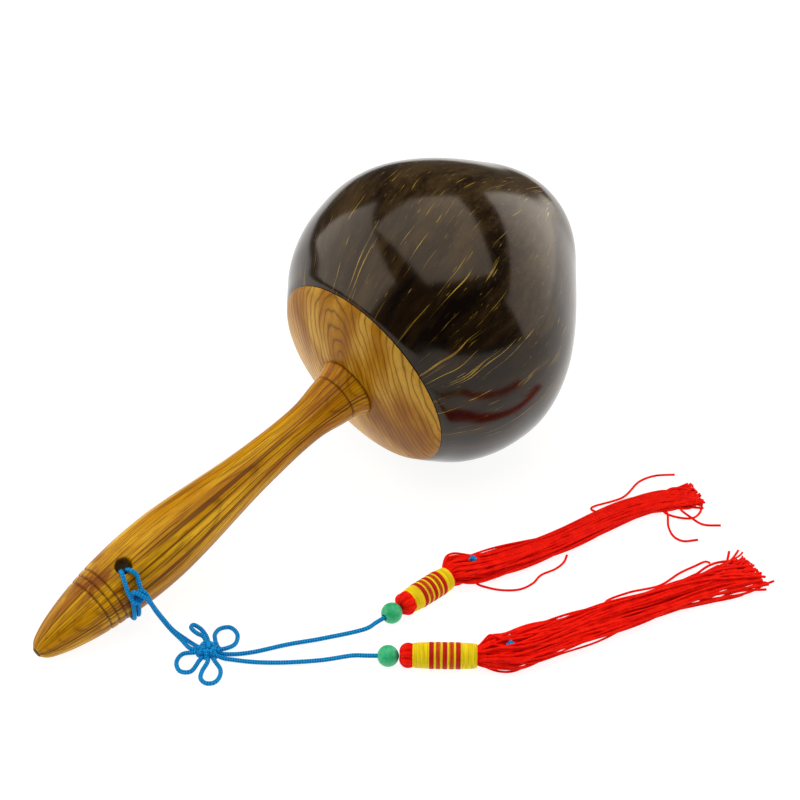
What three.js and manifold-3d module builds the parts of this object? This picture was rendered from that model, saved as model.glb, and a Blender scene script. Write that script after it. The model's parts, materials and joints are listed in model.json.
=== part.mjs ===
// A coconut-shell maraca lying on a table, with a knotted wrist cord, two beads and two thread tassels.
// Millimetres, +Z up. The origin is on the table under the middle of the maraca, and +X runs from the
// handle's butt towards the head. The maraca's pieces are turned shapes about one axis, the local X of
// the group "maraca", whose station 0 is where the handle meets the end cap.

import * as THREE from 'three'
import { mergeVertices } from 'three/addons/utils/BufferGeometryUtils.js'
import Module from 'manifold-3d'

const wasm = await Module()
wasm.setup()

// ---- Driving dimensions -------------------------------------------------------------------------

const GAP = 0.3 // clearance between neighbouring pieces

const SHELL_SIDES = 40
const SHELL_WALL = 3.6
const HEAD_LENGTH = 97.8 // from the handle's shoulder to the far pole
const RIM_STATION = 7.35
const RIM_RADIUS = 34.6
// Outside of the coconut from the rim to the far pole, as [station, radius]
const SHELL_OUTSIDE = [[RIM_STATION, RIM_RADIUS], [16.6, 43], [27, 47.9], [40, 50], [53, 47.8], [66, 40.8],
  [81, 28.9], [91, 19.6], [96.2, 9.5], [HEAD_LENGTH, 0]]

const CAP_FACE_RADIUS = 11.6 // the small flat that the handle's shoulder bears on
const CAP_DOME = [[CAP_FACE_RADIUS, GAP], [21.4, 2], [30.6, 4.75], [RIM_RADIUS, RIM_STATION - GAP]]
const SPIGOT_RADIUS = 30.6
const SPIGOT_END = 12.5
const TENON_RADIUS = 6.2
const TENON_END = 15

const HANDLE_LENGTH = 128
const HANDLE_SIDES = 28
const TIP_RADIUS = 1.6
// Outside of the handle from the butt to the shoulder, as [station, radius]
const HANDLE_OUTSIDE = [[-HANDLE_LENGTH, TIP_RADIUS], [-125.4, 4.3], [-118, 7.25], [-105, 9.65], [-86, 10.8],
  [-66, 9.8], [-46, 7.5], [-26, 6.25], [-14, 6.8], [-5, 8.5], [0, 10.3]]
const GROOVE_STATIONS = [-106.7, -104, -101.4, -5.4]
const GROOVE_DEPTH = 0.35
const GROOVE_WIDTH = 0.8

const CORD_RADIUS = 0.6
const CORD_SIDES = 8
const HOLE_STATION = -94.1
const HOLE_RADIUS = 2.6
const HOLE_ANGLE = 65 // degrees above the horizontal, on the -Y side

const PELLET_COUNT = 8
const PELLET_RADIUS = 3
const PELLET_PITCH = 6.5
const FIRST_PELLET = 21
const PELLET_CLEARANCE = 0.7

const BEAD_RADIUS = 3.2
const BEAD_BORE = 1
const BEAD_HEIGHT = 3.6 // of the bore's centre above the table
const TASSEL_HEIGHT = 4 // of the tassel's centre line above the table
const WRAP_RADIUS = 3.8
const BAND_RADIUS = 3.95
const BAND_COUNT = 5
const BAND_WIDTH = 1.45
const BAND_PITCH = 1.95
const CORE_RADIUS = 2.7
const STOPPER_RADIUS = 1.6

// ---- Materials ----------------------------------------------------------------------------------

const finish = (color, roughness) => new THREE.MeshStandardMaterial({ color, roughness, metalness: 0 })
const coconut = finish(0x2a1d16, 0.18)
const capWood = finish(0xb9772f, 0.4)
const handleWood = finish(0xa56a1c, 0.35)
const blueCord = finish(0x1583cf, 0.75)
const greenBead = finish(0x2fa067, 0.45)
const redThread = finish(0xd8120c, 0.7)
const yellowThread = finish(0xf2cf12, 0.6)
const seed = finish(0x8a6a45, 0.7)

// ---- Solids -------------------------------------------------------------------------------------

const DEGREE = Math.PI / 180
const vector = ([x, y, z]) => new THREE.Vector3(x, y, z)

// The geometry with its shared corners merged and its faces pointing out
function closed (geometry) {
  const bare = geometry.clone()
  bare.deleteAttribute('normal')
  bare.deleteAttribute('uv')
  const merged = mergeVertices(bare, 1e-4)
  const corners = merged.getAttribute('position')
  const index = Array.from(merged.index.array)
  const [a, b, c] = [new THREE.Vector3(), new THREE.Vector3(), new THREE.Vector3()]
  const kept = []
  let volume = 0
  for (let i = 0; i < index.length; i += 3) {
    const [i0, i1, i2] = index.slice(i, i + 3)
    if (i0 === i1 || i1 === i2 || i2 === i0) continue
    a.fromBufferAttribute(corners, i0)
    b.fromBufferAttribute(corners, i1)
    c.fromBufferAttribute(corners, i2)
    volume += a.dot(b.cross(c))
    kept.push([i0, i1, i2])
  }
  merged.setIndex(kept.flatMap(([i0, i1, i2]) => (volume < 0 ? [i0, i2, i1] : [i0, i1, i2])))
  return merged
}

function toSolid (geometry) {
  const shape = closed(geometry)
  const vertProperties = new Float32Array(shape.getAttribute('position').array)
  const triVerts = new Uint32Array(shape.index.array)
  return new wasm.Manifold(new wasm.Mesh({ numProp: 3, vertProperties, triVerts }))
}

function toGeometry (solid) {
  const { vertProperties, triVerts } = solid.getMesh()
  const geometry = new THREE.BufferGeometry()
  geometry.setAttribute('position', new THREE.BufferAttribute(vertProperties, 3))
  geometry.setIndex(new THREE.BufferAttribute(triVerts, 1))
  return geometry
}

function mesh (name, geometry, material) {
  const made = new THREE.Mesh(closed(geometry), material)
  made.name = name
  return made
}

// A turned shape about the local X axis from points given as [station, radius]
function turned (outline, sides) {
  const points = outline.map(([station, radius]) => new THREE.Vector2(radius, station))
  return new THREE.LatheGeometry(points, sides).rotateZ(-Math.PI / 2)
}

// Points spaced along a smooth curve through [station, radius] corners
function smooth (corners, count) {
  const curve = new THREE.CatmullRomCurve3(corners.map(([station, radius]) => vector([station, radius, 0])))
  return curve.getSpacedPoints(count).map(point => [point.x, Math.max(point.y, 0)])
}

// A round cord through the points
function tube (points, radius, steps) {
  const section = new THREE.Shape()
  section.absarc(0, 0, radius, 0, 2 * Math.PI)
  const extrudePath = new THREE.CatmullRomCurve3(points.map(vector), false, 'centripetal')
  return new THREE.ExtrudeGeometry(section, { extrudePath, steps, curveSegments: CORD_SIDES })
}

// A soft bundle through the stations, each { at: its centre, width, height: half the section's size }
function bundle (stations, sides, rows) {
  const centre = new THREE.CatmullRomCurve3(stations.map(({ at }) => vector(at)))
  const size = new THREE.CatmullRomCurve3(stations.map(({ width, height }) => vector([width, height, 0])))
  const geometry = new THREE.CylinderGeometry(1, 1, 1, sides, rows)
  const corners = geometry.getAttribute('position')
  const up = new THREE.Vector3(0, 0, 1)
  for (let i = 0; i < corners.count; i++) {
    const along = corners.getY(i) + 0.5
    const tangent = centre.getTangent(along).setZ(0).normalize()
    const side = tangent.clone().cross(up)
    const half = size.getPoint(along)
    const corner = centre.getPoint(along)
      .addScaledVector(side, corners.getX(i) * half.x)
      .addScaledVector(up, corners.getZ(i) * half.y)
    corners.setXYZ(i, corner.x, corner.y, corner.z)
  }
  return geometry
}

// ---- Outlines -----------------------------------------------------------------------------------

const shellOutside = smooth(SHELL_OUTSIDE, 18)

// The same curve one wall thickness further in, from the rim to the pole
const shellInside = shellOutside.map(([station, radius], i) => {
  const before = shellOutside[Math.max(i - 1, 0)]
  const after = shellOutside[Math.min(i + 1, shellOutside.length - 1)]
  const slope = Math.atan2(after[1] - before[1], after[0] - before[0])
  if (i === 0) return [station, radius - SHELL_WALL]
  if (radius === 0) return [station - SHELL_WALL, 0]
  return [station + SHELL_WALL * Math.sin(slope), radius - SHELL_WALL * Math.cos(slope)]
})

const handleCurve = new THREE.CubicInterpolant(
  HANDLE_OUTSIDE.map(([station]) => station), HANDLE_OUTSIDE.map(([, radius]) => radius), 1, [0])
const handleRadius = station => handleCurve.evaluate(station)[0]

function handleOutside () {
  const near = GROOVE_WIDTH / 2
  const inGroove = station => GROOVE_STATIONS.some(groove => Math.abs(groove - station) < 2 * near)
  const plain = []
  for (let i = 0; i < HANDLE_OUTSIDE.length - 1; i++) {
    const [from] = HANDLE_OUTSIDE[i]
    const [to] = HANDLE_OUTSIDE[i + 1]
    plain.push(from, (from + to) / 2)
  }
  const points = plain.filter(station => !inGroove(station)).concat(0)
    .map(station => [station, handleRadius(station)])
  for (const groove of GROOVE_STATIONS) {
    points.push([groove - near, handleRadius(groove - near)])
    points.push([groove, handleRadius(groove) - GROOVE_DEPTH])
    points.push([groove + near, handleRadius(groove + near)])
  }
  return points.sort((a, b) => a[0] - b[0])
}

// ---- How the maraca lies on the table -----------------------------------------------------------

const drop = (outline, tilt) => Math.max(...outline.map(
  ([station, radius]) => radius * Math.cos(tilt) - station * Math.sin(tilt)))

// The tilt of the axis at which the head and the butt touch the table together
function restingTilt () {
  let [low, high] = [0, Math.PI / 6]
  for (let i = 0; i < 40; i++) {
    const middle = (low + high) / 2
    if (drop(handleOutside(), middle) < drop(shellOutside, middle)) low = middle
    else high = middle
  }
  return low
}

const TILT = restingTilt()
const reach = (outline, side) => outline.map(
  ([station, radius]) => station * Math.cos(TILT) + side * radius * Math.sin(TILT))
const BACK = Math.min(...reach(handleOutside(), -1))
const FRONT = Math.max(...reach(shellOutside, 1))

const maraca = new THREE.Group()
maraca.position.set(-(BACK + FRONT) / 2, 0, drop(shellOutside, TILT))
maraca.rotation.y = -TILT
maraca.updateMatrixWorld()

// A point given by station, angle round the axis (0 is level on the -Y side, 90 on top) and distance from it
function aroundAxis (station, angle, distance) {
  const turn = angle * DEGREE
  return [station, -distance * Math.cos(turn), distance * Math.sin(turn)]
}
const onTable = point => vector(point).applyMatrix4(maraca.matrixWorld).toArray()

// ---- Maraca pieces ------------------------------------------------------------------------------

function coconutShell () {
  return turned([...shellInside.slice().reverse(), ...shellOutside], SHELL_SIDES)
}

function endCap () {
  const bore = TENON_RADIUS + GAP
  const dome = smooth(CAP_DOME.map(([radius, station]) => [station, radius]), 8)
  const loop = [[GAP, bore], ...dome, [RIM_STATION - GAP, SPIGOT_RADIUS], [SPIGOT_END, SPIGOT_RADIUS],
    [SPIGOT_END, bore], [GAP, bore]]
  return turned(loop, SHELL_SIDES)
}

function handle () {
  const outline = [[-HANDLE_LENGTH, 0], ...handleOutside(), [0, TENON_RADIUS], [TENON_END, TENON_RADIUS],
    [TENON_END, 0]]
  const drill = new THREE.CylinderGeometry(HOLE_RADIUS, HOLE_RADIUS, 4 * TENON_RADIUS, 16)
    .rotateX((180 - HOLE_ANGLE) * DEGREE)
    .translate(HOLE_STATION, 0, 0)
  return toGeometry(toSolid(turned(outline, HANDLE_SIDES)).subtract(toSolid(drill)))
}

// Distance from the axis at which a pellet clears the shell's inside
function pelletOrbit (station) {
  const clear = PELLET_RADIUS + PELLET_CLEARANCE
  const fine = smooth(shellInside, 200)
  const near = fine.filter(([along]) => Math.abs(along - station) < clear)
  return Math.min(...near.map(([along, radius]) => radius - Math.sqrt(clear ** 2 - (along - station) ** 2)))
}

maraca.add(mesh('coconut_shell', coconutShell(), coconut))
maraca.add(mesh('end_cap', endCap(), capWood))
maraca.add(mesh('handle', handle(), handleWood))
for (let i = 0; i < PELLET_COUNT; i++) {
  const station = FIRST_PELLET + i * PELLET_PITCH
  const pellet = mesh(`pellet_${i + 1}`, new THREE.SphereGeometry(PELLET_RADIUS, 10, 8), seed)
  pellet.position.set(station, 0, -pelletOrbit(station))
  maraca.add(pellet)
}

// ---- Wrist cord: two ends tied in a flower knot, its doubled loop hitched through the handle -----

const CORD_REST = CORD_RADIUS + 0.15 // height of a cord's centre line on the table
const KNOT = { at: [-70.8, -32, 2.2], width: 3.3, height: 1.9 }

// The loop from the knot, over the hitch, round under the handle, through the hole and back again
const strapLoop = [
  [-72.5, -27.4, 2.2], [-72.8, -22, 2.1], [-74.2, -19.2, 4], [-75.3, -16.7, 7], [-76.6, -15.4, 10.5],
  [-77.7, -14.9, 13.6],
  ...[[-96.2, 17, 14.4], [-97.5, 25.5, 12.6], [-98.4, 16, 11.3], [-99.3, -2, 11.1], [-99.8, -20, 11.1],
    [-99.2, -50, 11.1], [-98, -80, 11.2], [-96.4, -100, 11.5], [-95.3, -108.5, 11], [-95, -110, 8],
    [-95, 247, 0], [-95, 57, 8], [-95.1, 56.5, 10.4], [-95.6, 51.5, 11.8], [-97.3, 40, 11.4],
    [-98.6, 26, 11.6], [-98.8, 13, 12.7], [-97.4, 8, 12.9], [-95.8, 13, 12.7], [-94.1, 30, 11.6],
    [-93, 42, 11.5], [-93, 51.5, 11.7], [-93.2, 56.5, 10.2], [-93.3, 57, 8], [-93.3, 247, 0],
    [-93.3, -110, 8], [-93.2, -108.5, 11], [-94, -100, 11.5], [-96, -80, 11.2], [-97.5, -50, 11.1],
    [-98, -20, 11.1], [-97.6, -2, 11.1], [-96.9, 10, 11.2], [-95.8, 19.5, 11.9],
    [-94.9, 17.5, 13.4]].map(point => onTable(aroundAxis(...point))),
  [-76.9, -14.1, 12.6], [-75.7, -14.6, 9.5], [-74.4, -15.9, 6.1], [-73.3, -18.4, 3.1], [-71.9, -21.6, 1.1],
  [-71.3, -27, 0.9]
]
const STRAP_STEPS = 100

// Loops of the flower, each from the knot out and back to it
const petals = {
  petal_back: [[-69.3, -27.9, 4], [-70.2, -26, 4.7], [-70.2, -23.4, 5.2], [-69, -22.9, 5.2],
    [-67.8, -25, 4.1], [-68.2, -28.2, 2.9]],
  petal_right: [[-67.2, -30.5, 1.7], [-64.3, -26.9, 1.2], [-61.3, -25.7, CORD_REST], [-58.9, -27.2, CORD_REST],
    [-59.2, -31, CORD_REST], [-62.5, -33.9, CORD_REST], [-66.5, -34, 1.5]],
  petal_left: [[-74, -29.6, 1.9], [-76.4, -26.6, CORD_REST], [-79.8, -28.1, CORD_REST],
    [-81.4, -31.8, CORD_REST], [-79.4, -34, CORD_REST], [-75, -33, 1.8]],
  petal_front: [[-73.9, -35.2, 1.8], [-76.8, -36.2, CORD_REST], [-79.1, -38.4, CORD_REST],
    [-79.2, -40.9, CORD_REST], [-77.4, -42.3, CORD_REST], [-74.8, -41.6, CORD_REST],
    [-72.5, -39.2, CORD_REST], [-72.1, -36.3, 1.8]]
}

const cords = new THREE.Group()
cords.add(mesh('strap_loop', tube(strapLoop, CORD_RADIUS, STRAP_STEPS), blueCord))
for (const [name, points] of Object.entries(petals)) {
  cords.add(mesh(name, tube(points, CORD_RADIUS, 12), blueCord))
}
const lump = new THREE.SphereGeometry(1, 12, 8).scale(KNOT.width, KNOT.width, KNOT.height)
const knotCentre = mesh('knot_centre', lump, blueCord)
knotCentre.position.set(...KNOT.at)
cords.add(knotCentre)

// ---- Beads and tassels --------------------------------------------------------------------------

// The two ends of the cord. The bead's centre is also where its tassel swings, heading is the tassel's
// direction in degrees, and skirt is the route of the hanging strands, as centres with half sizes.
const ENDS = [
  {
    name: 'lower',
    bead: [-35.7, -71.1],
    heading: -45,
    wrapLength: 18.7,
    tail: [[-69, -35.9, 1.9], [-67.2, -38.8, CORD_REST], [-63.3, -43.9, CORD_REST], [-57.6, -50, 1],
      [-49, -57.4, 1.4]],
    skirt: [[-13.2, -92.6, 4.6, 4.8, 4.2], [-5.1, -95.6, 3.6, 5.6, 3.3], [11.4, -100.8, 3.3, 5.2, 3],
      [32.2, -107.4, 3.2, 5.3, 2.9], [54.4, -113, 2.9, 5.4, 2.6], [71.9, -118.8, 2.2, 6.2, 1.9]],
    stopper: [-8.8, -94.4, 6.4]
  },
  {
    name: 'upper',
    bead: [-22, -58.3],
    heading: -1,
    wrapLength: 17,
    tail: [[-67.6, -34.4, 1.9], [-65.4, -37.2, CORD_REST], [-61, -40.2, CORD_REST], [-51.6, -45, 1],
      [-42.9, -50.3, 1.3]],
    skirt: [[6.8, -59.2, 4.4, 4.3, 4.1], [16.1, -62, 3.4, 4.5, 3.1], [39.1, -68.7, 3, 4.4, 2.7],
      [64.7, -73.9, 2.6, 3.9, 2.3], [79.4, -78.4, 2.3, 5, 2], [90.9, -83.6, 2, 6.4, 1.7]],
    stopper: [11.2, -59.6, 6.1]
  }
]

const HEAD_START = BEAD_RADIUS + 0.5 // along the tassel's axis from the bead's centre
const WRAP_START = 7.1

function bead () {
  const steps = 10
  const first = Math.asin(BEAD_BORE / BEAD_RADIUS)
  const outline = []
  for (let i = 0; i <= steps; i++) {
    const angle = first + (Math.PI - 2 * first) * i / steps
    outline.push([-BEAD_RADIUS * Math.cos(angle), BEAD_RADIUS * Math.sin(angle)])
  }
  return turned([...outline, outline[0]], 16)
}

const bandStation = (i, wrapLength) => wrapLength / 2 + (i - (BAND_COUNT - 1) / 2) * BAND_PITCH

// The yellow binding, with a shallow seat under each band
function wrap (wrapLength) {
  const inside = CORE_RADIUS + GAP
  const seat = WRAP_RADIUS - 0.25
  const outline = [[0, inside], [0, WRAP_RADIUS]]
  for (let i = 0; i < BAND_COUNT; i++) {
    const middle = bandStation(i, wrapLength)
    const [from, to] = [middle - BAND_WIDTH / 2 - 0.1, middle + BAND_WIDTH / 2 + 0.1]
    outline.push([from, WRAP_RADIUS], [from, seat], [to, seat], [to, WRAP_RADIUS])
  }
  return turned([...outline, [wrapLength, WRAP_RADIUS], [wrapLength, inside], [0, inside]], 16)
}

function band () {
  const [inside, half] = [BAND_RADIUS - 0.25, BAND_WIDTH / 2]
  return turned([[-half, inside], [-half, BAND_RADIUS], [half, BAND_RADIUS], [half, inside],
    [-half, inside]], 16)
}

// Folded head and bound core of a tassel, about its axis from the bead's centre
function tasselCore (wrapLength) {
  const end = WRAP_START + wrapLength + 1.5
  return turned([[HEAD_START, 0], [HEAD_START, 1.6], [HEAD_START + 0.6, 2.9], [HEAD_START + 1.7, 3.6],
    [WRAP_START - GAP, 3.4], [WRAP_START - GAP, CORE_RADIUS], [end, CORE_RADIUS], [end, 0]], 16)
}

function tassel (end) {
  const group = new THREE.Group()
  const axis = new THREE.Group()
  axis.position.set(...end.bead, TASSEL_HEIGHT)
  axis.rotation.z = end.heading * DEGREE
  axis.updateMatrixWorld()
  group.add(axis)
  const binding = mesh(`${end.name}_wrap`, wrap(end.wrapLength), yellowThread)
  binding.position.x = WRAP_START
  axis.add(binding)
  for (let i = 0; i < BAND_COUNT; i++) {
    const ring = mesh(`${end.name}_band_${i + 1}`, band(), redThread)
    ring.position.x = WRAP_START + bandStation(i, end.wrapLength)
    axis.add(ring)
  }
  const leaves = WRAP_START + end.wrapLength + GAP
  const root = vector([leaves, 0, 0]).applyMatrix4(axis.matrixWorld)
  const stations = [{ at: root.toArray(), width: CORE_RADIUS, height: CORE_RADIUS },
    ...end.skirt.map(([x, y, z, width, height]) => ({ at: [x, y, z], width, height }))]
  const core = toSolid(tasselCore(end.wrapLength).applyMatrix4(axis.matrixWorld))
  const pocket = new THREE.SphereGeometry(STOPPER_RADIUS + GAP, 10, 8).translate(...end.stopper)
  const strands = core.add(toSolid(bundle(stations, 12, 22))).subtract(toSolid(pocket))
  group.add(mesh(`${end.name}_strands`, toGeometry(strands), redThread))
  const stopper = mesh(`${end.name}_cord_knot`, new THREE.SphereGeometry(STOPPER_RADIUS, 10, 8), blueCord)
  stopper.position.set(...end.stopper)
  group.add(stopper)
  return group
}

// The cord's end, along the table and then straight through the bead
function tail (end) {
  const along = distance => [end.bead[0] + distance * Math.cos(end.heading * DEGREE),
    end.bead[1] + distance * Math.sin(end.heading * DEGREE), BEAD_HEIGHT]
  return tube([...end.tail, ...[-10, -6.5, -3, BEAD_RADIUS].map(along)], CORD_RADIUS, 26)
}

for (const end of ENDS) {
  cords.add(mesh(`${end.name}_tail`, tail(end), blueCord))
  const ball = mesh(`${end.name}_bead`, bead(), greenBead)
  ball.position.set(...end.bead, BEAD_HEIGHT)
  ball.rotation.z = end.heading * DEGREE
  cords.add(ball)
  cords.add(tassel(end))
}

const object = new THREE.Group()
object.add(maraca, cords)
export default object
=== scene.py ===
"""A coconut-shell maraca on a pale floor, with its knotted wrist cord, two beads and two thread tassels.

Every length below is in millimetres and turned into metres as it is used. The maraca's own pieces are
turned shapes about one axis: station 0 is where the handle meets the end cap, and it grows to the head.
"""
import json
import math
import random

import bpy
from mathutils import Matrix, Vector, noise
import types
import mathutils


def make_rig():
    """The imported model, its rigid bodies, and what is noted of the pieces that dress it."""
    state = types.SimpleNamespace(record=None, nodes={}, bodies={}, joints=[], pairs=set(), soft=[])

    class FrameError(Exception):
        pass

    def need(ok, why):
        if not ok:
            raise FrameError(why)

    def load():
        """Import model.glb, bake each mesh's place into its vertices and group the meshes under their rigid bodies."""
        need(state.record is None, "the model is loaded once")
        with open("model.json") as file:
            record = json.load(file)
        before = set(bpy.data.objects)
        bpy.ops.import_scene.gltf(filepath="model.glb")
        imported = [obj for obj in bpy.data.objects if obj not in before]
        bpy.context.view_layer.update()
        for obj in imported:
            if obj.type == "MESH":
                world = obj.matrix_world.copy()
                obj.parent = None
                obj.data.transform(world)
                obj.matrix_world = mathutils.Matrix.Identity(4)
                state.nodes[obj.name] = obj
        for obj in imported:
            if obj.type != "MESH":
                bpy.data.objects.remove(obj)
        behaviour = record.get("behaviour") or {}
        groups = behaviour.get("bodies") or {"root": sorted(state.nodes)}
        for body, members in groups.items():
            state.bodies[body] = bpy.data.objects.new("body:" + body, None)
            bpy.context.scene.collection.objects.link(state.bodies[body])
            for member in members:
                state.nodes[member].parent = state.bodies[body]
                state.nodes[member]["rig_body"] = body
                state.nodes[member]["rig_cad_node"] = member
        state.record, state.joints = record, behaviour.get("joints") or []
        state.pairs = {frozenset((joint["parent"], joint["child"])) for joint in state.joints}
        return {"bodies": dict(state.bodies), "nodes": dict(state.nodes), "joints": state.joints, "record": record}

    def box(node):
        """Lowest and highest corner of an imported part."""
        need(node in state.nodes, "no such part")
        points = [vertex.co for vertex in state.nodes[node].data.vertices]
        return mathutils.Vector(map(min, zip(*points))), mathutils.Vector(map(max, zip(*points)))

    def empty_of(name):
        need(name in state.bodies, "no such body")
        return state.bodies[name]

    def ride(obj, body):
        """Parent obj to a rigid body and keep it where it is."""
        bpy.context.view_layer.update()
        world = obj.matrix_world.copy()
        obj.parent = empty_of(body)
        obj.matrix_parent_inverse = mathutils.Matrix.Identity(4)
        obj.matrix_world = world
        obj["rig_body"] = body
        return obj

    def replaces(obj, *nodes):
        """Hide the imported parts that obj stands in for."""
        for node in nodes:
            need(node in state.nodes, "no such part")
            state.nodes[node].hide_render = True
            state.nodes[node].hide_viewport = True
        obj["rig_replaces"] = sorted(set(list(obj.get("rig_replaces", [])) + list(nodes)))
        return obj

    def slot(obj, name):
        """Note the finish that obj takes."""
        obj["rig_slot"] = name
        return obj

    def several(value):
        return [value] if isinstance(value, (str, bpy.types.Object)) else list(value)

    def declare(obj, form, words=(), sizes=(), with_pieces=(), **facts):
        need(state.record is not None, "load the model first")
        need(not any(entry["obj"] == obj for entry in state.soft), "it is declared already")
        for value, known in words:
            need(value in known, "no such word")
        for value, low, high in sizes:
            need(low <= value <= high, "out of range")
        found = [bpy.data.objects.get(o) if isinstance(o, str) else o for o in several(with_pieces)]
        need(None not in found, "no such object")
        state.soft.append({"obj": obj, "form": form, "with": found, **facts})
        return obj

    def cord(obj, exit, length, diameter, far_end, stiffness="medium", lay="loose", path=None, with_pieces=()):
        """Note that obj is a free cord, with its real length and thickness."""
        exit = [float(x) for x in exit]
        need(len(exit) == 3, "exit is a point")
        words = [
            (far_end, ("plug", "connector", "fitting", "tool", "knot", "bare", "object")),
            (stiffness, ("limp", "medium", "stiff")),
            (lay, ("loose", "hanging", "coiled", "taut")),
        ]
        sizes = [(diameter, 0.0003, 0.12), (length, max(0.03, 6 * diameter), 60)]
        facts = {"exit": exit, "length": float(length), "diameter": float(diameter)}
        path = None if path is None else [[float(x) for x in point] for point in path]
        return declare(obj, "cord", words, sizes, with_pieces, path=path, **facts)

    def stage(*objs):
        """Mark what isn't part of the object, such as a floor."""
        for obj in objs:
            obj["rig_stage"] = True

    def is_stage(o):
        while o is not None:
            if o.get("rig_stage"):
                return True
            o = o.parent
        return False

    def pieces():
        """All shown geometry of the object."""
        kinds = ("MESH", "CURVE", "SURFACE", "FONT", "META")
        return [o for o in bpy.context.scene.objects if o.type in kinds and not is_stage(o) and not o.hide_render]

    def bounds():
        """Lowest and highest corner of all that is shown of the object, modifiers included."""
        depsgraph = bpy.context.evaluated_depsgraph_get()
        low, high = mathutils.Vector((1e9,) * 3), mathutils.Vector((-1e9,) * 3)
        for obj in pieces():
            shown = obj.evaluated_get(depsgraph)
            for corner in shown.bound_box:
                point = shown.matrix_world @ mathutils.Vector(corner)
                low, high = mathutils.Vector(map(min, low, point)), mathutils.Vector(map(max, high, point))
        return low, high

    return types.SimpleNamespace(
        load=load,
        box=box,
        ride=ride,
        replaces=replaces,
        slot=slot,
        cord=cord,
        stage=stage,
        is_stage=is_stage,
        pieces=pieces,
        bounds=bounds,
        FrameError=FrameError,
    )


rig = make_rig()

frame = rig.load()
cad_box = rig.bounds()

MM = 0.001
TURN = 2 * math.pi
UP = Vector((0, 0, 1))
Y_AXIS = Vector((0, 1, 0))

roll_joint = next(joint for joint in frame["joints"] if joint["name"] == "pellet_1_roll")
AXIS = Vector(roll_joint["axis"]).normalized()
SHOULDER = Vector(roll_joint["pos_m"]) / MM
OUT_UP = AXIS.cross(Y_AXIS)  # square to the axis, on the upper side


# ---- Camera ---------------------------------------------------------------------------------------

CAMERA_PLACE = (-321.95, -373.65, 385.76)
CAMERA_VIEW = (0.568, 0.5904, -0.5735)
CAMERA_LENS = 86.93  # on a 36 mm sensor

camera_data = bpy.data.cameras.new("camera")
camera_data.lens = CAMERA_LENS
camera_data.sensor_width = 36
camera = bpy.data.objects.new("camera", camera_data)
camera.location = Vector(CAMERA_PLACE) * MM
camera.rotation_euler = Vector(CAMERA_VIEW).to_track_quat("-Z", "Y").to_euler()
bpy.context.scene.collection.objects.link(camera)
bpy.context.scene.camera = camera


# ---- Handle's marks, as stations, which its shape and its look share ------------------------------

GROOVES = [(-106.7, 0.42), (-104, 0.42), (-101.4, 0.42), (-5.4, 0.4)]  # (station, depth)
GROOVES_MIDDLE = -103.0  # of the three by the butt
SHOULDER_SEAM = 0.3
TIP_SEAM = -127.75


# ---- Places and curves ----------------------------------------------------------------------------

def around_axis(station, angle, distance):
    """A point near the maraca, by station, angle (0 level on the -Y side, 90 on top) and distance."""
    turn = math.radians(angle)
    across = OUT_UP * math.sin(turn) - Y_AXIS * math.cos(turn)
    return SHOULDER + AXIS * station + across * distance


def spline_point(before, start, end, after, share):
    """A point on the centripetal Catmull-Rom curve from start to end."""
    steps = [max((b - a).length, 1e-6) ** 0.5 for a, b in ((before, start), (start, end), (end, after))]
    t1 = steps[0]
    t2 = t1 + steps[1]
    t3 = t2 + steps[2]
    t = t1 + (t2 - t1) * share
    a1 = before.lerp(start, t / t1)
    a2 = start.lerp(end, (t - t1) / (t2 - t1))
    a3 = end.lerp(after, (t - t2) / (t3 - t2))
    b1 = a1.lerp(a2, t / t2)
    b2 = a2.lerp(a3, (t - t1) / (t3 - t1))
    return b1.lerp(b2, (t - t1) / (t2 - t1))


def smooth_path(corners, step):
    """Points about step apart on a smooth curve through the corners."""
    corners = [Vector(corner) for corner in corners]
    ends = [corners[0] * 2 - corners[1], *corners, corners[-1] * 2 - corners[-2]]
    path = []
    for i in range(len(corners) - 1):
        near = ends[i:i + 4]
        count = max(2, math.ceil((near[2] - near[1]).length / step))
        path += [spline_point(*near, j / count) for j in range(count)]
    return path + [corners[-1]]


def path_length(path):
    return sum((b - a).length for a, b in zip(path, path[1:]))


def outline_at(outline, station):
    """Radius of a [station, radius] outline at a station, on a smooth curve."""
    for i in range(len(outline) - 1):
        (s1, r1), (s2, r2) = outline[i], outline[i + 1]
        if station <= s2:
            break
    s0, r0 = outline[i - 1] if i > 0 else (2 * s1 - s2, 2 * r1 - r2)
    s3, r3 = outline[i + 2] if i + 2 < len(outline) else (2 * s2 - s1, 2 * r2 - r1)
    t = min(max((station - s1) / (s2 - s1), 0), 1)
    m1 = (r2 - r0) / (s2 - s0) * (s2 - s1)
    m2 = (r3 - r1) / (s3 - s1) * (s2 - s1)
    return ((2 * t ** 3 - 3 * t ** 2 + 1) * r1 + (t ** 3 - 2 * t ** 2 + t) * m1
            + (3 * t ** 2 - 2 * t ** 3) * r2 + (t ** 3 - t ** 2) * m2)


# ---- Meshes ---------------------------------------------------------------------------------------

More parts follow.
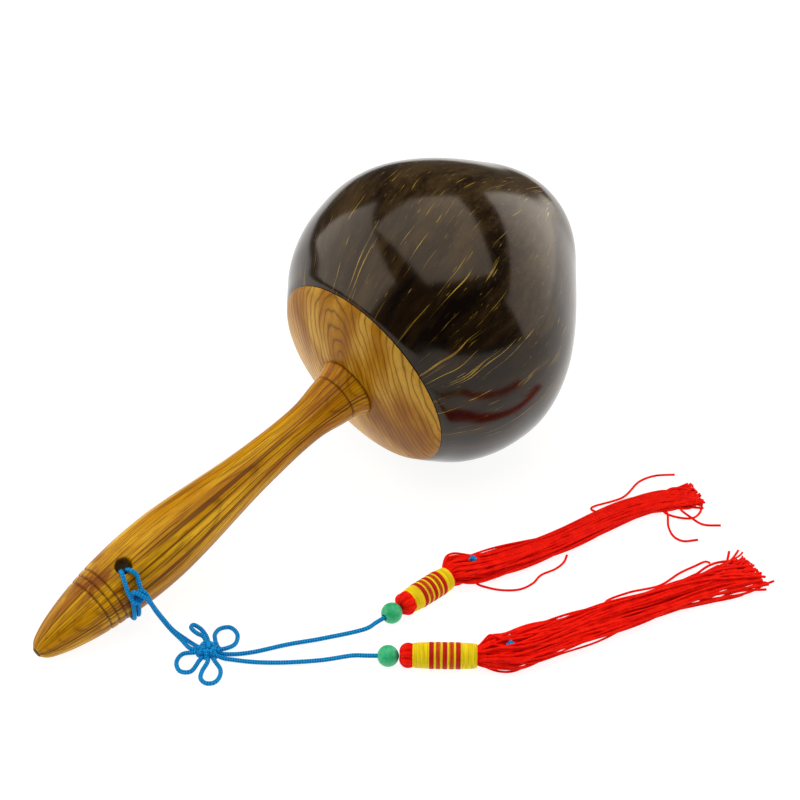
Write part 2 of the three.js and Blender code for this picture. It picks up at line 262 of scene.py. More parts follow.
class Surface:
    """Gathers closed tubes and turned shapes into one mesh with a UV map."""

    def __init__(self):
        self.points = []
        self.faces = []
        self.corners = []

    def add_rings(self, rings, rows):
        """A closed body through the rings of points, with a tip at each end.

        rows are the rings' U values.
        """
        sides = len(rings[0])
        first = len(self.points)
        for ring in rings:
            self.points += ring
        for j in range(len(rings) - 1):
            for i in range(sides):
                k = (i + 1) % sides
                low = first + j * sides
                self.faces.append((low + i, low + k, low + sides + k, low + sides + i))
                v1, v2 = i / sides, (i + 1) / sides
                self.corners += [(rows[j], v1), (rows[j], v2), (rows[j + 1], v2), (rows[j + 1], v1)]
        for j, backwards in ((0, True), (len(rings) - 1, False)):
            middle = len(self.points)
            self.points.append(sum(rings[j], Vector()) / sides)
            for i in range(sides):
                k = (i + 1) % sides
                low = first + j * sides
                pair = (low + k, low + i) if backwards else (low + i, low + k)
                self.faces.append((*pair, middle))
                self.corners += [(rows[j], i / sides)] * 3

    def add_tube(self, path, radius, sides):
        """A round tube along the path."""
        path = [Vector(point) for point in path]
        tangent = (path[1] - path[0]).normalized()
        side = tangent.cross(UP if abs(tangent.z) < 0.9 else Y_AXIS).normalized()
        rings = []
        rows = []
        done = 0.0
        for i, point in enumerate(path):
            ahead = path[min(i + 1, len(path) - 1)] - path[max(i - 1, 0)]
            tangent = ahead.normalized()
            side = (side - tangent * side.dot(tangent)).normalized()
            other = tangent.cross(side)
            if i:
                done += (point - path[i - 1]).length
            ring = []
            for k in range(sides):
                turn = TURN * (k / sides)
                ring.append(point + (side * math.cos(turn) + other * math.sin(turn)) * radius)
            rings.append(ring)
            rows.append(done)
        self.add_rings(rings, rows)

    def add_turned(self, outline, sides, place=None, relief=None):
        """A turned solid of an outline that starts and ends on the axis.

        place(station, angle, radius) gives a point, and relief(station, angle, radius) a new radius.
        """
        place = place or around_axis
        rings = []
        for station, radius in outline[1:-1]:
            ring = []
            for k in range(sides):
                angle = -360 * k / sides
                size = relief(station, angle, radius) if relief else radius
                ring.append(place(station, angle, size))
            rings.append(ring)
        self.add_rings(rings, [station for station, _ in outline[1:-1]])
        self.points[-2] = place(outline[0][0], 0, 0)
        self.points[-1] = place(outline[-1][0], 0, 0)

    def build(self, name, material):
        mesh = bpy.data.meshes.new(name)
        mesh.from_pydata([tuple(point * MM) for point in self.points], [], self.faces)
        layer = mesh.uv_layers.new(name="UVMap")
        for corner, uv in zip(layer.data, self.corners):
            corner.uv = uv
        mesh.shade_smooth()
        mesh.materials.append(material)
        mesh.update()
        piece = bpy.data.objects.new(name, mesh)
        bpy.context.scene.collection.objects.link(piece)
        return piece


def settle(piece, body, slot, *nodes):
    """Ties a piece to its body, its material slot and the CAD nodes it stands for."""
    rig.ride(piece, body)
    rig.slot(piece, slot)
    if nodes:
        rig.replaces(piece, *nodes)
    return piece


# ---- Material helpers -----------------------------------------------------------------------------

class Look:
    """A material under construction: its tree, and short ways to add nodes."""

    def __init__(self, name, **settings):
        self.material = bpy.data.materials.new(name)
        self.material.use_nodes = True
        self.tree = self.material.node_tree
        self.shader = self.tree.nodes["Principled BSDF"]
        for socket, value in settings.items():
            self.shader.inputs[socket.replace("_", " ")].default_value = value

    def node(self, kind, **settings):
        made = self.tree.nodes.new("ShaderNode" + kind)
        for key, value in settings.items():
            setattr(made, key, value)
        return made

    def join(self, source, target):
        self.tree.links.new(source, target)

    def feed(self, target, value):
        """Sets an input socket to a number or colour, or links it to an output."""
        if isinstance(value, bpy.types.NodeSocket):
            self.join(value, target)
        else:
            target.default_value = value

    def math(self, operation, a, b=0.0):
        made = self.node("Math", operation=operation)
        self.feed(made.inputs[0], a)
        self.feed(made.inputs[1], b)
        return made.outputs[0]

    def vector(self, operation, a, b=(0, 0, 0)):
        made = self.node("VectorMath", operation=operation)
        self.feed(made.inputs[0], a)
        self.feed(made.inputs[1], b)
        return made.outputs[0]

    def split(self, value):
        made = self.node("SeparateXYZ")
        self.join(value, made.inputs[0])
        return made.outputs

    def combine(self, x, y, z=0.0):
        made = self.node("CombineXYZ")
        for socket, value in zip(made.inputs, (x, y, z)):
            self.feed(socket, value)
        return made.outputs[0]

    def noise(self, place, scale=1.0, detail=2.0, roughness=0.5):
        made = self.node("TexNoise")
        self.join(place, made.inputs["Vector"])
        made.inputs["Scale"].default_value = scale
        made.inputs["Detail"].default_value = detail
        made.inputs["Roughness"].default_value = roughness
        return made.outputs["Fac"]

    def ramp(self, value, *stops):
        """A colour ramp of (position, colour or grey) stops."""
        made = self.node("ValToRGB")
        self.join(value, made.inputs[0])
        elements = made.color_ramp.elements
        while len(elements) < len(stops):
            elements.new(0.5)
        for element, (position, colour) in zip(elements, stops):
            element.position = position
            grey = not isinstance(colour, tuple)
            element.color = (colour, colour, colour, 1) if grey else (*colour, 1)
        return made.outputs[0]

    def mix(self, share, a, b):
        made = self.node("Mix", data_type="RGBA")
        self.feed(made.inputs["Factor"], share)
        for socket, value in ((made.inputs[6], a), (made.inputs[7], b)):
            self.feed(socket, (*value, 1) if isinstance(value, tuple) else value)
        return made.outputs[2]

    def bump(self, height, distance, strength=1.0):
        made = self.node("Bump")
        made.inputs["Strength"].default_value = strength
        made.inputs["Distance"].default_value = distance * MM
        self.join(height, made.inputs["Height"])
        self.join(made.outputs[0], self.shader.inputs["Normal"])

    def place(self):
        """Where a point is in the maraca's own frame, in millimetres, with X along its axis."""
        source = self.node("TexCoord").outputs["Object"]
        made = self.node("Mapping")
        turn = Matrix((AXIS, Y_AXIS, OUT_UP))
        made.inputs["Rotation"].default_value = turn.to_euler()
        made.inputs["Location"].default_value = -(turn @ (SHOULDER * MM))
        self.join(source, made.inputs["Vector"])
        return self.vector("MULTIPLY", made.outputs[0], (1 / MM, 1 / MM, 1 / MM))

    def own_place(self):
        """Where a point is in its piece's own frame, in millimetres."""
        return self.vector("MULTIPLY", self.node("TexCoord").outputs["Object"], (1 / MM, 1 / MM, 1 / MM))

    def uv(self):
        return self.node("TexCoord").outputs["UV"]

    def colour(self, value):
        self.feed(self.shader.inputs["Base Color"], value)

    def rough(self, value):
        self.feed(self.shader.inputs["Roughness"], value)


# ---- Materials ------------------------------------------------------------------------------------

def coconut_look():
    """Polished coconut: near black brown with gold fibres that run to the far pole."""
    look = Look("coconut", IOR=1.41, Roughness=0.15, Specular_Tint=(1.0, 0.88, 0.76, 1.0))
    place = look.place()
    x, y, z = look.split(place)
    outward = look.vector("NORMALIZE", look.combine(0.0, y, z))
    _, dir_y, dir_z = look.split(outward)
    wander = look.noise(place, 0.025, 2.0)
    lean = look.math("ADD", look.math("MULTIPLY", look.math("SUBTRACT", wander, 0.5), 0.22),
                     look.math("MULTIPLY", x, -0.004))
    fibre_y = look.math("ADD", dir_y, look.math("MULTIPLY", lean, dir_z))
    fibre_z = look.math("SUBTRACT", dir_z, look.math("MULTIPLY", lean, dir_y))

    def fibres(along, across):
        return look.combine(look.math("MULTIPLY", x, along), look.math("MULTIPLY", fibre_y, across),
                            look.math("MULTIPLY", fibre_z, across))

    long_noise = look.noise(fibres(0.022, 60.0), 1.0, 1.5, 0.5)
    long_streaks = look.ramp(long_noise, (0.645, 0.0), (0.69, 1.0))
    breaks = look.ramp(look.noise(fibres(0.12, 30.0), 1.0, 2.0), (0.42, 0.0), (0.52, 1.0))
    where = look.ramp(look.noise(fibres(0.03, 3.4), 1.0, 2.0), (0.40, 0.0), (0.52, 1.0))
    short_noise = look.noise(fibres(0.16, 75.0), 1.0, 2.0, 0.6)
    short_streaks = look.ramp(short_noise, (0.69, 0.0), (0.74, 0.6))
    bold = look.math("MULTIPLY", look.math("MULTIPLY", long_streaks, where), breaks)
    amount = look.math("MAXIMUM", bold, short_streaks)
    far_end = look.ramp(look.math("DIVIDE", x, 100.0), (0.25, 0.0), (0.70, 1.0))
    # The side that faces up is made a lighter brown: painted light from the overhead panel. The browner far end is the
    # shell's own colour.
    upper = look.ramp(look.math("ADD", dir_z, look.math("MULTIPLY", dir_y, 0.5)), (0.2, 0.0), (1.0, 1.0))
    mottle = look.noise(fibres(0.05, 7.0), 1.0, 4.0, 0.65)
    browner_far_end_and_lit_top = look.math("ADD", look.math("MULTIPLY", far_end, 0.17), look.math("MULTIPLY", upper, 0.10))
    shade = look.math("ADD", mottle, browner_far_end_and_lit_top)
    base = look.ramp(shade, (0.42, (0.0026, 0.0009, 0.0003)), (0.58, (0.014, 0.0065, 0.0014)),
                     (0.80, (0.052, 0.031, 0.011)))
    specks = look.ramp(look.noise(fibres(0.30, 24.0), 1.0, 4.0, 0.7), (0.50, 0.0), (0.66, 1.0))
    pale = look.mix(look.math("MULTIPLY", look.math("MULTIPLY", specks, far_end), 0.55), base,
                    (0.080, 0.056, 0.024))
    gold = look.ramp(look.noise(place, 0.12, 2.0), (0.35, (0.24, 0.12, 0.008)), (0.65, (0.50, 0.34, 0.03)))
    look.colour(look.mix(amount, pale, gold))
    look.bump(look.math("ADD", look.math("MULTIPLY", look.noise(place, 0.25, 3.0), 0.5),
                        look.math("MULTIPLY", long_noise, 0.15)), 0.04, 0.25)
    return look.material


def cap_look():
    """Golden tan wood, cut so that its growth rings show as nested arches with long straight legs."""
    look = Look("cap_wood", Coat_Weight=0.07, Coat_Roughness=0.25, Specular_IOR_Level=0.08)
    place = look.place()
    x, y, z = look.split(place)
    legs = look.math("ADD", look.math("SUBTRACT", y, look.math("MULTIPLY", z, 0.14)), 3.1)
    top = look.math("MULTIPLY", look.math("MAXIMUM", look.math("SUBTRACT", z, 12.0), 0.0), 0.45)
    arch = look.math("SQRT", look.math("ADD", look.math("MULTIPLY", legs, legs),
                                       look.math("MULTIPLY", top, top)))
    waver_at = look.combine(look.math("MULTIPLY", x, 0.1), look.math("MULTIPLY", y, 0.16),
                            look.math("MULTIPLY", z, 0.05))
    waver = look.math("MULTIPLY", look.noise(waver_at, 1.0, 1.8, 0.5), 4.5)
    phase = look.math("FRACT", look.math("MULTIPLY", look.math("ADD", arch, waver), 0.50))
    line = look.ramp(phase, (0.0, 0.9), (0.10, 0.25), (0.35, 0.0), (0.80, 0.15), (0.97, 1.0))
    pores_at = look.combine(x, look.math("MULTIPLY", y, 4.0), look.math("MULTIPLY", z, 0.55))
    pores = look.ramp(look.noise(pores_at, 1.0, 3.0, 0.7), (0.55, 0.0), (0.68, 1.0))
    tone = look.ramp(look.noise(waver_at, 0.7, 3.0), (0.36, (0.27, 0.094, 0.001)),
                     (0.50, (0.39, 0.165, 0.002)), (0.66, (0.60, 0.34, 0.045)))
    # Painted highlight: the wood is mixed towards pale tan on the +Y side and the underside, standing in for the glare
    # that grazing light leaves on the cap's edge.
    to_painted_glare_side = look.math("SUBTRACT", look.math("MULTIPLY", y, 0.020), look.math("MULTIPLY", z, 0.018))
    with_painted_glare = look.mix(look.ramp(to_painted_glare_side, (0.05, 0.0), (0.60, 0.7)), tone, (0.85, 0.55, 0.22))
    dark = look.mix(look.math("MULTIPLY", line, 0.75), with_painted_glare, (0.10, 0.036, 0.003))
    look.colour(look.mix(look.math("MULTIPLY", pores, 0.45), dark, (0.13, 0.045, 0.004)))
    look.rough(0.42)
    height = look.math("ADD", look.math("MULTIPLY", pores, -1.0), look.math("MULTIPLY", line, -0.4))
    look.bump(height, 0.05, 0.4)
    return look.material


def handle_look():
    """Orange brown wood with thin dark lengthwise grain."""
    look = Look("handle_wood", Coat_Weight=0.09, Coat_Roughness=0.25, Specular_IOR_Level=0.08)
    place = look.place()
    x, y, z = look.split(place)
    outward = look.vector("NORMALIZE", look.combine(0.0, y, z))
    _, dir_y, dir_z = look.split(outward)

    def straight(along, across, detail):
        """Noise drawn out along the wood's own straight grain."""
        at = look.combine(look.math("MULTIPLY", x, along), look.math("MULTIPLY", y, across),
                          look.math("MULTIPLY", z, across))
        return look.noise(at, 1.0, detail, 0.6)

    def followed(along, across, detail):
        """Noise drawn out along the handle, so that it follows the turned outline."""
        at = look.combine(look.math("MULTIPLY", x, along), look.math("MULTIPLY", dir_y, across),
                          look.math("MULTIPLY", dir_z, across))
        return look.noise(at, 1.0, detail, 0.6)

    drift = look.math("MULTIPLY", straight(0.012, 0.10, 1.5), 1.6)
    layer = look.math("ADD", look.math("ADD", look.math("MULTIPLY", y, 0.80),
                                       look.math("MULTIPLY", z, -0.60)), drift)
    phase = look.math("FRACT", look.math("MULTIPLY", layer, 0.62))
    line = look.ramp(phase, (0.0, 1.0), (0.08, 0.3), (0.25, 0.0), (0.80, 0.1), (0.97, 1.0))
    broken = look.math("MULTIPLY", line, look.ramp(straight(0.03, 0.5, 2.0), (0.40, 0.1), (0.58, 1.0)))
    tone = look.ramp(followed(0.02, 1.6, 3.0), (0.36, (0.43, 0.155, 0.001)), (0.50, (0.63, 0.30, 0.002)),
                     (0.66, (0.82, 0.46, 0.012)))
    streaks = followed(0.020, 15.0, 3.5)
    bold = look.ramp(streaks, (0.53, 0.0), (0.61, 1.0))
    long_lines = look.ramp(followed(0.008, 10.0, 1.5), (0.56, 0.0), (0.60, 1.0))
    pores = look.ramp(followed(0.14, 34.0, 3.0), (0.53, 0.0), (0.63, 1.0))
    ringed = look.mix(look.math("MULTIPLY", broken, 0.5), tone, (0.10, 0.034, 0.003))
    streaked = look.mix(look.math("MULTIPLY", bold, 0.5), ringed, (0.14, 0.042, 0.002))
    lined = look.mix(look.math("MULTIPLY", long_lines, 0.75), streaked, (0.085, 0.026, 0.002))
    wood = look.mix(look.math("MULTIPLY", pores, 0.5), lined, (0.13, 0.042, 0.003))
    tip = look.math("LESS_THAN", x, TIP_SEAM)
    from_grooves = look.math("DIVIDE", look.math("ABSOLUTE", look.math("SUBTRACT", x, GROOVES_MIDDLE)), 20.0)
    near_grooves = look.ramp(from_grooves, (0.15, 1.0), (0.75, 0.0))
    stains = look.ramp(straight(0.10, 0.22, 3.0), (0.47, 0.0), (0.60, 0.8))
    stained = look.mix(look.math("MULTIPLY", stains, near_grooves), wood, (0.20, 0.035, 0.002))
    # Painted shade: the wood is darkened within about half a millimetre of each groove and of the shoulder seam, where
    # shade falls in the recesses.
    groove_painted_shade = 0.0
    for groove in [station for station, _ in GROOVES] + [SHOULDER_SEAM]:
        distance = look.math("ABSOLUTE", look.math("SUBTRACT", x, groove))
        near = look.math("SUBTRACT", 1.0, look.math("MULTIPLY", distance, 1.9))
        groove_painted_shade = look.math("MAXIMUM", near, groove_painted_shade)
    with_groove_shade = look.mix(look.math("MULTIPLY", groove_painted_shade, 0.75), stained, (0.08, 0.024, 0.003))
    look.colour(look.mix(tip, with_groove_shade, (0.05, 0.025, 0.01)))
    look.rough(look.ramp(streaks, (0.3, 0.32), (0.7, 0.46)))
    height = look.math("ADD", look.math("MULTIPLY", pores, -1.0), look.math("MULTIPLY", broken, -0.5))
    look.bump(height, 0.04, 0.4)
    return look.material


def cord_look():
    """Braided cord: two sets of strands crossing at a slant."""
    look = Look("blue_cord", Roughness=0.6, Specular_IOR_Level=0.12)
    u, v, _ = look.split(look.uv())
    braid_run = look.math("MULTIPLY", u, TURN / 1.5)
    braid_turn = look.math("MULTIPLY", v, TURN * 4)
    one = look.math("SINE", look.math("ADD", braid_run, braid_turn))
    two = look.math("SINE", look.math("SUBTRACT", braid_run, braid_turn))
    weave = look.math("MULTIPLY", one, two)
    height = look.math("ADD", look.math("MULTIPLY", weave, 0.5), 0.5)
    # Over the cord's own blue, the low places between strands are coloured darker and the crowns lighter: painted
    # shade in the crevices and a painted highlight on the crowns.
    tone = look.ramp(height, (0.1, (0.001, 0.11, 0.34)), (0.5, (0.002, 0.28, 0.72)),
                     (0.95, (0.004, 0.43, 0.95)))
    look.colour(tone)
    look.bump(height, 0.25, 0.8)
    return look.material


def bead_look():
    look = Look("green_bead", Roughness=0.4, Coat_Weight=0.3, Coat_Roughness=0.25, Specular_IOR_Level=0.2)
    place = look.own_place()
    patches = look.noise(place, 0.7, 3.0, 0.6)
    look.colour(look.ramp(patches, (0.35, (0.018, 0.42, 0.16)), (0.65, (0.040, 0.56, 0.25))))
    look.bump(look.noise(place, 1.6, 3.0), 0.05, 0.5)
    return look.material


def thread_look(name, dark, light, pitch, slant):
    """Twisted thread laid along U, its two plies turning at a slant."""
    look = Look(name, Roughness=0.6, Specular_IOR_Level=0.08)
    u, v, _ = look.split(look.uv())
    turns = look.math("ADD", look.math("MULTIPLY", u, TURN / pitch), look.math("MULTIPLY", v, TURN * slant))
    ply = look.math("ADD", look.math("MULTIPLY", look.math("SINE", turns), 0.5), 0.5)
    place = look.own_place()
    patches = look.noise(place, 0.35, 3.0, 0.6)
    # The ply term darkens the grooves between the plies a little: painted shade. The patches are the thread's own
    # uneven colour.
    shade = look.math("ADD", look.math("MULTIPLY", ply, 0.05), look.math("MULTIPLY", patches, 0.95))
    look.colour(look.ramp(shade, (0.3, dark), (0.65, light)))
    look.bump(ply, 0.03, 0.15)
    return look.material


def wound_look(name, dark, light):
    """Thread wound tightly round, each turn a little different from the next."""
    look = Look(name, Roughness=0.45, Specular_IOR_Level=0.15)
    u, v, _ = look.split(look.uv())
    turns_at = look.combine(look.math("MULTIPLY", u, 2.6), look.math("MULTIPLY", v, 3.0))
    turns = look.noise(turns_at, 1.0, 2.0, 0.6)
    ply = look.math("SINE", look.math("ADD", look.math("MULTIPLY", u, 9.0), look.math("MULTIPLY", v, 420.0)))
    look.colour(look.ramp(turns, (0.35, dark), (0.6, light)))
    look.bump(ply, 0.03, 0.5)
    return look.material


def seed_look():
    look = Look("seed", Roughness=0.6)
    place = look.own_place()
    mottle = look.noise(place, 1.2, 3.0)
    look.colour(look.ramp(mottle, (0.35, (0.20, 0.10, 0.04)), (0.65, (0.40, 0.24, 0.11))))
    look.bump(look.noise(place, 2.5, 3.0), 0.1, 0.5)
    return look.material


coconut = coconut_look()
cap_wood = cap_look()
handle_wood = handle_look()
blue_cord = cord_look()
green_bead = bead_look()
red_thread = thread_look("red_thread", (0.78, 0.002, 0.0005), (0.98, 0.012, 0.001), 1.6, 1)
yellow_thread = wound_look("yellow_thread", (0.72, 0.50, 0.002), (0.98, 0.78, 0.002))
band_thread = wound_look("red_band", (0.40, 0.004, 0.001), (0.62, 0.010, 0.002))
seed = seed_look()


# ---- Wrist cord -----------------------------------------------------------------------------------

CORD_RADIUS = 0.66
CORD_REST = 0.75

STRAP_LOOP = [
    (-73.9, -27.6, 2.0), (-73.5, -22.5, 2.1), (-74.3, -19.2, 4), (-75.3, -16.7, 7), (-76.6, -15.4, 10.5),
    (-77.7, -14.9, 13.6),
    *[around_axis(*point) for point in (
        (-96.2, 17, 14.4), (-97.5, 25.5, 12.6), (-98.4, 16, 11.3), (-99.3, -2, 11.1), (-99.8, -20, 11.1),
        (-99.2, -50, 11.1), (-98, -80, 11.2), (-96.4, -100, 11.5), (-95.3, -108.5, 11), (-95, -110, 8),
        (-95, 247, 0), (-95.6, 60, 8), (-95.9, 59.5, 10.4), (-96.5, 54.5, 11.9), (-97.6, 41, 11.5),
        (-98.6, 26, 11.6), (-98.8, 13, 12.7), (-97.4, 8, 12.9), (-95.8, 13, 12.7), (-94.1, 30, 11.6),
        (-93.2, 42, 11.5), (-93.8, 50, 11.75), (-94, 55, 10.2), (-93.9, 57, 8), (-93.3, 247, 0),
        (-93.3, -110, 8), (-93.2, -108.5, 11), (-94, -100, 11.5), (-96, -80, 11.2), (-97.5, -50, 11.1),
        (-98, -20, 11.1), (-97.6, -2, 11.1), (-96.9, 10, 11.2), (-95.8, 19.5, 11.9), (-94.9, 17.5, 13.4))],
    (-76.9, -14.1, 12.6), (-75.7, -14.6, 9.5), (-74.4, -15.9, 6.1), (-73.3, -18.4, 3.1), (-71.9, -21.6, 1.1),
    (-71.3, -27, 0.9)]
PETALS = {
    "petal_back": [
        (-69.3, -27.9, 4), (-70.2, -26, 4.7), (-70.2, -23.4, 5.2), (-69, -22.9, 5.2), (-67.8, -25, 4.1),
        (-68.2, -28.2, 2.9)],
    "petal_right": [
        (-67.2, -30.5, 1.7), (-64.3, -26.9, 1.2), (-61.3, -25.7, CORD_REST), (-58.9, -27.2, CORD_REST),
        (-59.2, -31, CORD_REST), (-62.5, -33.9, CORD_REST), (-66.5, -34, 1.5)],
    "petal_left": [
        (-74, -29.6, 1.9), (-76.4, -26.6, CORD_REST), (-79.8, -28.1, CORD_REST),
        (-81.4, -31.8, CORD_REST), (-79.4, -34, CORD_REST), (-75, -33, 1.8)],
    "petal_front": [
        (-73.9, -35.2, 1.8), (-76.8, -36.2, CORD_REST), (-79.1, -38.4, CORD_REST),
        (-79.2, -40.9, CORD_REST), (-77.4, -42.3, CORD_REST), (-74.8, -41.6, CORD_REST),
        (-72.5, -39.2, CORD_REST), (-72.1, -36.3, 1.8)]}

BEAD_RADIUS = 3.2
BEAD_BORE = 1.0
BEAD_HEIGHT = 3.6
TASSEL_HEIGHT = 4

ENDS = {
    "lower": {
        "bead": (-35.7, -71.1), "heading": -45, "wrap_length": 18.7,
        "tail": [(-69.2, -36.3, 1.1), (-67.2, -38.8, CORD_REST), (-63.3, -43.9, CORD_REST),
                 (-57.6, -50, 1), (-49, -57.4, 1.4)],
        "skirt": [(-13.2, -92.6, 4.6, 5.9, 4.3), (-5.1, -95.6, 3.9, 6.7, 3.6), (11.4, -100.8, 3.4, 6.2, 3.1),
                  (32.2, -107.4, 3.2, 5.9, 2.9), (54.4, -113, 2.9, 5.7, 2.6), (74.2, -119.8, 2.0, 6.8, 1.8)],
        "knot": (-8.8, -94.4, 6.4),
        "strays": [
            [(29.2, -97.9), (38.4, -99.1), (48.3, -103.4), (57.3, -103.9), (63.3, -105), (67.4, -106),
             (67.8, -107.3)],
            [(50.9, -116.9), (58.4, -118.6), (65, -121.5), (69.5, -124.5), (75.1, -126.3)]],
        "seed": 11},
    "upper": {
        "bead": (-22, -58.3), "heading": -1, "wrap_length": 15.8,
        "tail": [(-68, -34.9, 1.0), (-65.4, -37.2, CORD_REST), (-61, -40.2, CORD_REST),
                 (-51.6, -45, 1), (-42.9, -50.3, 1.3)],
        "skirt": [(5.6, -59.1, 4.5, 5.4, 4.2), (15.6, -62, 3.6, 5.9, 3.3), (39.1, -68.7, 3, 5.2, 2.7),
                  (64.7, -73.9, 2.6, 4.4, 2.3), (79.4, -78.4, 2.3, 5, 2), (90.9, -83.6, 2, 6.4, 1.7)],
        "knot": (11.2, -59.6, 6.1),
        "strays": [
            [(60.6, -64.5), (73.2, -67.1), (84.1, -65.1), (89.9, -66.6), (95.1, -70.7)],
            [(7.7, -64.5), (9.7, -68.5), (12.5, -72.1), (16.2, -75), (21.1, -75.8), (25.6, -74.9),
             (31.3, -76), (35.4, -75.6), (38.6, -74)],
            [(76.5, -82.8), (72.1, -87.1), (69.8, -91.2), (70.1, -94.6), (74, -97.5)],
            [(80.9, -84.9), (81, -88.6), (81.2, -93.7), (84.9, -98)],
            [(76, -82.4), (78.3, -86.7), (81.5, -89.4), (85.3, -89.2), (89.1, -87)]],
        "seed": 5}}


def along_end(end, distance, height=BEAD_HEIGHT):
    """A point on a tassel's own line, at a distance from its bead's centre."""
    turn = math.radians(end["heading"])
    x, y = end["bead"]
    return Vector((x + distance * math.cos(turn), y + distance * math.sin(turn), height))


def cord_piece(name, corners):
    """A braided cord through the corners, and the points of its centre line in metres."""
    path = smooth_path(corners, 0.3)
    surface = Surface()
    surface.add_tube(path, CORD_RADIUS, 14)
    piece = settle(surface.build(name + "_cord", blue_cord), "maraca", "blue_cord", name)
    return piece, [point * MM for point in path]


KNOT_MIDDLE = Vector((-70.8, -32, 2.2))
KNOT_ROOT = 1.3  # how near the knot's middle the loops and the tails go


def into_knot(corners, first=True, last=True):
    """The same cord, carried on into the flower knot's middle, where the CAD solids stop short of it."""
    corners = [Vector(corner) for corner in corners]
    start = KNOT_MIDDLE + (corners[0] - KNOT_MIDDLE).normalized() * KNOT_ROOT
    end = KNOT_MIDDLE + (corners[-1] - KNOT_MIDDLE).normalized() * KNOT_ROOT
    return ([start] if first else []) + corners + ([end] if last else [])


petal_pieces = [cord_piece(name, into_knot(corners))[0] for name, corners in PETALS.items()]

# The flower knot's middle: the cord passes over and under itself in a tight square weave.
KNOT_HALF = 3.4
KNOT_TURN = Matrix.Rotation(math.radians(38), 3, "Z")
knot = Surface()
for offset, sign in ((-1.6, 1), (0.0, -1), (1.6, 1)):
    for crosswise in (False, True):
        run = []
        for step in range(13):
            share = step / 6 - 1
            reach = share * KNOT_HALF * (1.0 if offset == 0 else 0.86)
            lift = 0.62 * math.cos(math.pi * share * 2) * sign * (-1 if crosswise else 1)
            point = Vector((reach, offset, lift - 0.9 * share * share + 0.75))
            if crosswise:
                point.x, point.y = point.y, point.x
            run.append(KNOT_MIDDLE + KNOT_TURN @ point)
        knot.add_tube(smooth_path(run, 0.3), 0.8, 14)
knot_middle = settle(knot.build("knot_middle", blue_cord), "maraca", "blue_cord", "knot_centre")

strap, strap_path = cord_piece("strap_loop", into_knot(STRAP_LOOP))
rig.cord(strap, exit=strap_path[0], length=path_length(strap_path), diameter=2 * CORD_RADIUS * MM,
        far_end="knot", stiffness="limp", lay="loose", path=strap_path,
        with_pieces=[knot_middle, *petal_pieces])
for name, end in ENDS.items():
    corners = end["tail"] + [along_end(end, distance) for distance in (-10, -6.5, -3, BEAD_RADIUS)]
    tail, tail_path = cord_piece(name + "_tail", into_knot(corners, last=False))
    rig.cord(tail, exit=tail_path[0], length=path_length(tail_path), diameter=2 * CORD_RADIUS * MM,
            far_end="object", stiffness="limp", lay="loose", path=tail_path)


# ---- Head, cap and handle -------------------------------------------------------------------------

HEAD_LENGTH = 97.8
RIM_STATION = 7.25
RELIEF_LENGTH = 88  # of the shell's stretch that is uneven, from the rim
LEAN_START = 42  # station where the shell starts to lean
SHELL_WALL = 3.6
SHELL_SIDES = 160
CAP_SIDES = 128
HANDLE_SIDES = 96
BORE_SIDES = 48
# Outlines as (station, radius). A fitting program found most of these numbers, not driving dimensions.
HEAD_OUTSIDE = [
    (-0.5, 8), (1.96, 21.5), (4.9, 31.4), (7.35, 34.6), (9.8, 37.1), (16.6, 43.0), (24.5, 47.1), (32.3, 49.2),
    (41.1, 50.0), (48.9, 48.9), (56.7, 46.1), (65.5, 41.1), (73.4, 35.4), (81.2, 28.8), (88.0, 22.6),
    (92.9, 16.4), (95.8, 10.2), (97.3, 4.6)]
HANDLE_OUTSIDE = [
    (-128, 1.3), (-126.4, 3.15), (-123.9, 4.5), (-119.9, 6.0), (-114.8, 7.4), (-109.7, 8.5), (-103.3, 9.55),
    (-95.6, 10.3), (-86.7, 10.8), (-76.5, 10.65), (-66.3, 9.8), (-56.1, 8.6), (-45.9, 7.5), (-35.7, 6.75),
    (-25.5, 6.3), (-16.6, 6.55), (-8.9, 7.9), (-3.8, 8.75), (0, 10.35)]
HOLE_STATION = -94.1
HOLE_ANGLE = 65
POLE_SHIFT = Vector((-0.73, 3.2, 2.6))  # how far the far pole is off the axis


def head_place(station, angle, radius):
    """A point of the coconut, whose far end leans off the turning axis."""
    beyond = max(0.0, (station - LEAN_START) / (HEAD_LENGTH - LEAN_START))
    return around_axis(station, angle, radius) + POLE_SHIFT * beyond ** 2


def head_relief(station, angle, radius):
    """The shell's natural unevenness: three faint ridges, a fuller back, a flatter front and slow waves."""
    share = min(max((station - RIM_STATION) / RELIEF_LENGTH, 0), 1)
    middle = math.sin(math.pi * share)
    far_half = math.sin(math.pi * share ** 2)
    near_pole = math.sin(math.pi * share ** 3)
    turn = math.radians(angle)
    back = max(0.0, math.cos(turn - math.radians(125))) ** 2
    front = max(0.0, math.cos(turn + math.radians(15))) ** 2
    under = max(0.0, -math.sin(turn)) ** 6
    ridge = 0.30 * math.cos(3 * (turn - 0.5)) * middle
    full_back = 1.4 * back * far_half
    flat_front = front * (1.1 * middle * min(station / 75, 1) + 1.5 * near_pole)
    worn_rest = 0.5 * under * middle
    place = Vector((station * 0.03, math.cos(turn), math.sin(turn)))
    waves = 0.35 * middle * noise.noise(place * 1.6)
    return radius + ridge + full_back - flat_front - worn_rest + waves


